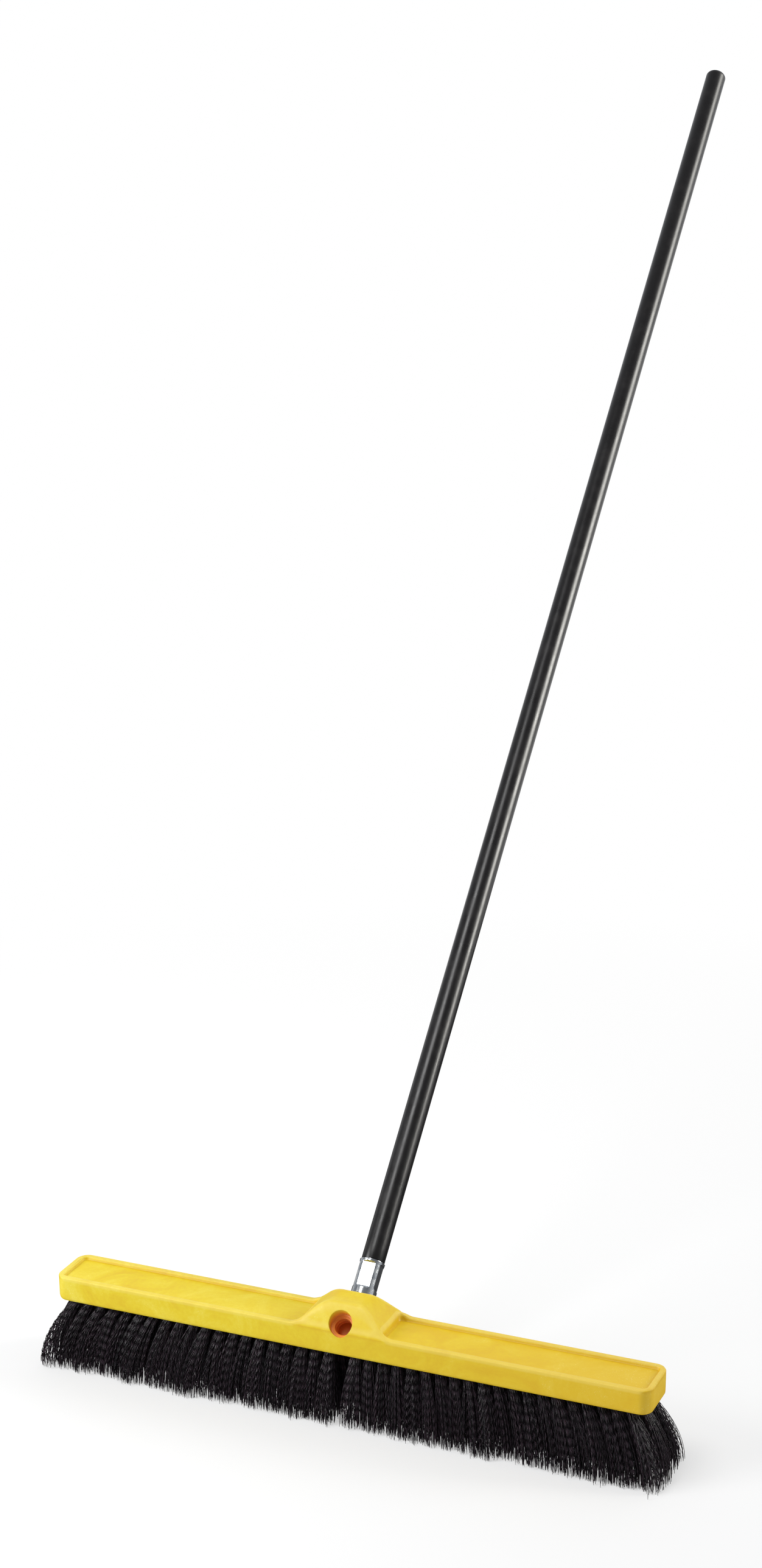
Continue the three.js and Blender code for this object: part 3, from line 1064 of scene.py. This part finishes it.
@dataclass
class Bristles:
    """Staple-set tufts in five staggered rows, splayed towards the floor. Millimetres.

    The rows that show are made finely, and the ones behind them with fewer and thicker fibres.
    """

    rows: int = 5
    row_pitch: float = 9.6
    tuft_pitch: float = 14.2
    tufts: int = 10
    first_tuft: float = 13.0
    tuft_radius: float = 4.1
    floor_width: float = 75.0
    floor_gap: float = 5.0
    shown: TuftDetail = TuftDetail(fibres=74, waves=30, per_wave=4, radius=0.3)
    behind: TuftDetail = TuftDetail(fibres=56, waves=12, per_wave=2, radius=0.3 * 1.3)
    root_height: float = 1.5
    spread: tuple[float, float] = (10.8, 9.0)
    fill_power: float = 0.42
    fan_power: float = 1.9
    stray_share: float = 0.015
    stray_reach: float = 4.0
    tuft_lean: float = 1.2
    end_scatter: float = 1.3
    tuft_trim: float = 0.5
    fibre_trim: float = 0.35
    phase_scatter: float = 0.12
    pitch_scatter: float = 0.03
    row_spread: float = 0.98
    wave: float = 8.0
    crimp: float = 0.5
    bend: float = 0.35
    trim: float = 1.0
    top: float = field(init=False)
    floor_end: float = field(init=False)

    def __post_init__(self) -> None:
        """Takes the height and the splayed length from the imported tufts."""
        self.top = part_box("block")[0].z / MM
        self.floor_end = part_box("tuft_row_1_right_outer")[1].x / MM

    def tuft_centres(self, group: TuftGroup) -> tuple[Array, Array]:
        """Where each tuft leaves the block and where its middle meets the floor.

        Along X, the root's share of its row's length is carried to the splayed length less the gap in
        the middle; across, each row moves out to its share of the floor width.

        Args:
            group: the group of tufts.

        Returns:
            Roots and floor points, one row of x and y for each tuft.
        """
        offset = (group.row % 2) * self.tuft_pitch / 2
        number = group.place * self.tufts + np.arange(self.tufts)
        x = self.first_tuft + offset + number * self.tuft_pitch
        first = self.first_tuft + offset - self.tuft_pitch / 2
        last = self.first_tuft + offset + (2 * self.tufts - 0.5) * self.tuft_pitch
        share = (x - first) / (last - first)
        across = group.row - (self.rows - 1) / 2
        root = np.stack([group.half.value * x, np.full(self.tufts, across * self.row_pitch)], axis=1)
        floor_x = group.half.value * (self.floor_gap + share * (self.floor_end - self.floor_gap))
        floor_y = across * self.floor_width / self.rows * self.row_spread
        return root, np.stack([floor_x, np.full(self.tufts, floor_y)], axis=1)

    def detail(self, group: TuftGroup) -> TuftDetail:
        """How finely a group is made."""
        return self.shown if group.row in (0, self.rows - 1) else self.behind

    def fibre_paths(self, group: TuftGroup) -> tuple[Array, Array]:
        """The middle line of every fibre of a group.

        A fibre starts at random in its tuft's hole and ends at the tuft's floor point plus its place in
        the hole times the spread, going out as 1 - (1 - t)^fan_power. Its upper part is crimped to and
        fro, nearly in step with its neighbours, and its lower part bends at random.

        Args:
            group: the group of tufts.

        Returns:
            Points of shape fibres by stations by 3, and the crest share at each fibre's stations, which
            paints highlight on the crests and shade in the troughs.
        """
        rng = np.random.default_rng(group.seed)
        root, floor = self.tuft_centres(group)
        detail = self.detail(group)
        waves, per_wave, bends = detail.waves, detail.per_wave, detail.bends
        count = self.tufts * detail.fibres
        tuft = np.repeat(np.arange(self.tufts), detail.fibres)
        angle = rng.uniform(0, TURN, count)
        reach = rng.uniform(0, 1, count) ** self.fill_power
        unit = np.stack([np.cos(angle), np.sin(angle)], axis=1) * reach[:, None]
        start = root[tuft] + unit * self.tuft_radius
        lean = rng.normal(0, self.tuft_lean, (self.tufts, 2))
        end = floor[tuft] + lean[tuft] + unit * np.array(self.spread)
        end = end + rng.normal(0, self.end_scatter, (count, 2))
        stray = rng.uniform(0, 1, count) < self.stray_share
        end[stray] += rng.normal(0, self.stray_reach, (int(stray.sum()), 2))
        clump = rng.normal(0, self.tuft_trim, self.tufts)[tuft]
        trimmed = np.clip(self.trim + clump + rng.normal(0, self.fibre_trim, count), 0.1, 5.0)
        length = (self.top + self.root_height - trimmed)[:, None]
        phase = rng.uniform(0, per_wave, self.tufts)[tuft]
        phase = phase + rng.normal(0, self.phase_scatter * per_wave, count)
        whole = np.floor(phase).astype(int)[:, None]
        pitch = self.wave / per_wave * (1.0 + rng.normal(0, self.pitch_scatter, count))[:, None]
        waved = pitch * ((phase[:, None] - whole) + np.arange(1, waves + 1)[None, :] - 0.5)
        below = waved[:, -1:] + (length - waved[:, -1:]) * np.arange(1, bends + 1)[None, :] / bends
        root_column = np.zeros((count, 1))
        depth = np.concatenate([root_column, waved, below], axis=1)
        share = depth / length
        fan = 1 - (1 - share) ** self.fan_power
        flat = start[:, None] + (end - start)[:, None] * fan[..., None]
        at_end = (tuft == self.tufts - 1) & (group.place == 1)
        sway = TURN / 4 + rng.normal(0, 0.25, self.tufts)[tuft]
        sway = sway + rng.normal(0, 1, count) * np.where(at_end, 1.2, 0.35)
        step = (np.arange(waves)[None, :] - whole) % per_wave
        crest = np.where(step < per_wave / 2, 1.0, 0.0)
        side = np.concatenate([
            root_column,
            self.crimp * (2 * crest - 1) * rng.uniform(0.7, 1.3, (count, 1)),
            self.bend * rng.normal(0, 1, (count, bends)),
        ], axis=1)
        # painted light: 1 on crests for a painted highlight, 0 in troughs for painted shade, random values
        # along the bends
        shares = np.concatenate([root_column, crest, rng.uniform(0.1, 0.7, (count, bends))], axis=1)
        flat = flat + np.stack([np.cos(sway), np.sin(sway)], axis=1)[:, None] * side[..., None]
        height = self.top + self.root_height - depth
        return np.concatenate([flat, height[..., None]], axis=2), shares

    def build(self, group: TuftGroup, material: Material) -> Object:
        """Makes every fibre of a group as a three-sided closed filament.

        Args:
            group: the group of tufts.
            material: the fibre's material, shared by all the groups.

        Returns:
            The piece.
        """
        path, crest = self.fibre_paths(group)
        count, stations = path.shape[:2]
        cast = np.random.default_rng(group.seed + 500).uniform(0, 1, count)
        corner = np.arange(3) * TURN / 3
        around = np.stack([np.cos(corner), np.sin(corner), np.zeros(3)], axis=1)[None, None]
        taper = np.ones(stations)
        taper[-1] = 0.6
        points = path[:, :, None] + around * self.detail(group).radius * taper[None, :, None, None]
        ring = grid_quads(stations, 3, wrap=True)[:, ::-1]
        per_fibre = stations * 3
        first = (np.arange(count) * per_fibre)[:, None, None]
        sides = (first + ring[None]).reshape(-1, 4)
        ends = np.array([[0, 1, 2], [per_fibre - 1, per_fibre - 2, per_fibre - 3]])
        caps = (first + ends[None]).reshape(-1, 3)
        piece = place_piece(
            group.node.replace("tuft_row", "bristles_row"), points.reshape(-1, 3), [sides, caps],
        )
        # crest paints highlight and shade along each fibre
        write_marks(piece.data, cast=np.repeat(cast, per_fibre), crest=np.repeat(crest.ravel(), 3))
        return settle(piece, material, "root", [group.node])


def settle(
    piece: Object, material: Material, body: str, nodes: list[str], sharp: float = 180.0,
) -> Object:
    """Dresses a piece, joins it to its body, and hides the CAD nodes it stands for.

    Args:
        piece: the finished piece.
        material: what it is made of.
        body: the CAD body that it rides on.
        nodes: the CAD nodes that it stands for.
        sharp: the least angle of a sharp edge, in degrees.

    Returns:
        The piece.
    """
    if sharp < 180.0:
        piece.data.set_sharp_from_angle(angle=math.radians(sharp))
    piece.data.materials.clear()
    piece.data.materials.append(material)
    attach(piece, body)
    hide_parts(*nodes)
    triangles = sum(len(p.vertices) - 2 for p in piece.data.polygons)
    log.info("%s rides %s, %d triangles", piece.name, body, triangles)
    return piece


# Studio


@dataclass(frozen=True)
class SoftBox:
    """A square area light that faces a point. Metres and watts."""

    name: str
    place: tuple[float, float, float]
    aim: tuple[float, float, float]
    width: float
    power: float
    tint: str = "FFFFFF"
    spread: float = math.pi

    def build(self) -> None:
        """Adds the light."""
        data = bpy.data.lights.new(self.name, "AREA")
        data.size = self.width
        data.energy = self.power
        data.color = linear(self.tint)[:3]
        data.spread = self.spread
        lamp = bpy.data.objects.new(self.name, data)
        bpy.context.scene.collection.objects.link(lamp)
        lamp.visible_camera = False
        lamp.location = self.place
        lamp.rotation_mode = "QUATERNION"
        lamp.rotation_quaternion = (Vector(self.aim) - Vector(self.place)).to_track_quat("-Z", "Y")


@dataclass(frozen=True)
class Studio:
    """Pale floor, soft light and the camera."""

    azimuth: float = math.radians(23.62)
    elevation: float = math.radians(16.0)
    roll: float = math.radians(-0.5)
    distance: float = 2.4336
    aim: tuple[float, float, float] = (0.0357, 0.0, 0.6234)
    lens: float = 63.17
    boxes: tuple[SoftBox, ...] = (
        SoftBox("key_box", (-0.55, -0.9, 2.6), (0.0, 0.05, 0.1), 1.0, 27.0),
        SoftBox("fill_box", (-2.0, -1.7, 1.4), (-0.1, 0.0, 0.1), 1.3, 53.0),
        SoftBox("side_box", (2.17, 1.68, 1.9), (0.0, 1.04, 1.15), 2.2, 21.0, "FFFDF6", math.radians(45)),
    )

    def camera(self) -> None:
        """Adds the camera: it looks from azimuth and elevation towards the aim, turned by the roll."""
        a, e, r = self.azimuth, self.elevation, self.roll
        back = Vector((math.sin(a) * math.cos(e), -math.cos(a) * math.cos(e), math.sin(e)))
        right = Vector((math.cos(a), math.sin(a), 0.0))
        up = back.cross(right)
        right, up = right * math.cos(r) + up * math.sin(r), up * math.cos(r) - right * math.sin(r)
        data = bpy.data.cameras.new("camera")
        data.lens = self.lens
        data.sensor_width = 36.0
        camera = bpy.data.objects.new("camera", data)
        bpy.context.scene.collection.objects.link(camera)
        place = Vector(self.aim) + back * self.distance
        turn = Matrix((right, up, back)).transposed().to_4x4()
        camera.matrix_world = Matrix.Translation(place) @ turn
        bpy.context.scene.camera = camera

    def sheet(self, name: str, half: float, height: float) -> tuple[Object, NodeTree]:
        """Lays a flat square on the floor, with a material of the same name that is still empty.

        Args:
            name: its name.
            half: half its width, in millimetres.
            height: its height, in millimetres.

        Returns:
            The square and its material's node tree.
        """
        corners = half * np.array([[-1.0, -1.0], [1.0, -1.0], [1.0, 1.0], [-1.0, 1.0]])
        points = np.column_stack([corners, np.full(4, height)])
        square = place_piece(name, points, [np.array([[0, 1, 2, 3]])])
        material = bpy.data.materials.new(name)
        square.data.materials.append(material)
        return square, empty_tree(material)

    def floor(self) -> None:
        """Adds a wide pale floor under the bristles, which glows more and more away from the broom."""
        _, tree = self.sheet("floor", 30000.0, -0.2)
        where = add_node(tree, "TexCoord").outputs["Object"]
        away = add_node(tree, "VectorMath", {"operation": "LENGTH"}, {0: where})
        share = add_node(
            tree, "MapRange", {"From Min": 0.3, "From Max": 1.5, "To Min": 0.5}, {"Value": away},
        )
        matt = add_node(tree, "BsdfDiffuse", {"Color": linear("F4F4F4")})
        bright = add_node(tree, "Emission", {"Color": linear("FFFFFF"), "Strength": 1.0})
        mix = add_node(tree, "MixShader", links={0: share, 1: matt, 2: bright})
        add_node(tree, "OutputMaterial", links={"Surface": mix})

    def dark_card(self) -> None:
        """Adds a dark card on the floor that only reflections see, for the gloss of metal and lacquer."""
        card, tree = self.sheet("dark_card", 1500.0, -0.1)
        felt = add_node(tree, "BsdfPrincipled", {"Base Color": linear("3A3A3C"), "Roughness": 1.0})
        add_node(tree, "OutputMaterial", links={"Surface": felt})
        for ray in ("camera", "diffuse", "shadow", "transmission", "volume_scatter"):
            setattr(card, f"visible_{ray}", False)

    def surroundings(self) -> None:
        """Makes the room pale where it is seen and dimmer where it only lights."""
        world = bpy.data.worlds.new("room")
        tree = empty_tree(world)
        path = add_node(tree, "LightPath")
        seen = add_node(tree, "Background", {"Color": linear("FFFFFF"), "Strength": 1.0})
        towards = add_node(tree, "TexCoord").outputs["Generated"]
        ways = add_node(tree, "SeparateXYZ", links={"Vector": towards})
        limits = dict(zip(RANGE_INPUTS, (-0.3, 0.9, 0.2, 0.85)))
        behind = add_node(tree, "MapRange", limits, {"Value": ways.outputs["Y"]})
        lit = add_node(tree, "Background", {"Color": linear("F7FAFF")}, {"Strength": behind})
        mix = add_node(tree, "MixShader", links={0: path.outputs["Is Camera Ray"], 1: lit, 2: seen})
        add_node(tree, "OutputWorld", links={"Surface": mix})
        bpy.context.scene.world = world
        bpy.context.scene.view_settings.view_transform = "Standard"

    def build(self) -> None:
        """Sets up the whole studio."""
        self.camera()
        self.surroundings()
        self.floor()
        self.dark_card()
        for box in self.boxes:
            box.build()


def main() -> None:
    logging.basicConfig(level=logging.INFO, format="%(name)s: %(message)s")
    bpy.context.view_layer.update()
    Studio().build()
    axis = HandleAxis.from_frame()
    thread = ScrewThread()
    Head(axis, thread).build(FoamPolypropylene("foam_moulded_polypropylene"))
    MetalTip(axis, thread).build(ZincPlate("bright_zinc_plate"))
    Pole(axis).build(BlackLacquer("dipped_black_lacquer", axis=Vector(axis.direction)))
    bristles = Bristles()
    filament = CrimpedFibre("crimped_polypropylene_filament").material()
    for row in range(bristles.rows):
        for half in Half:
            for place in range(2):
                bristles.build(TuftGroup(row, half, place), filament)


if __name__ == "__main__":
    main()
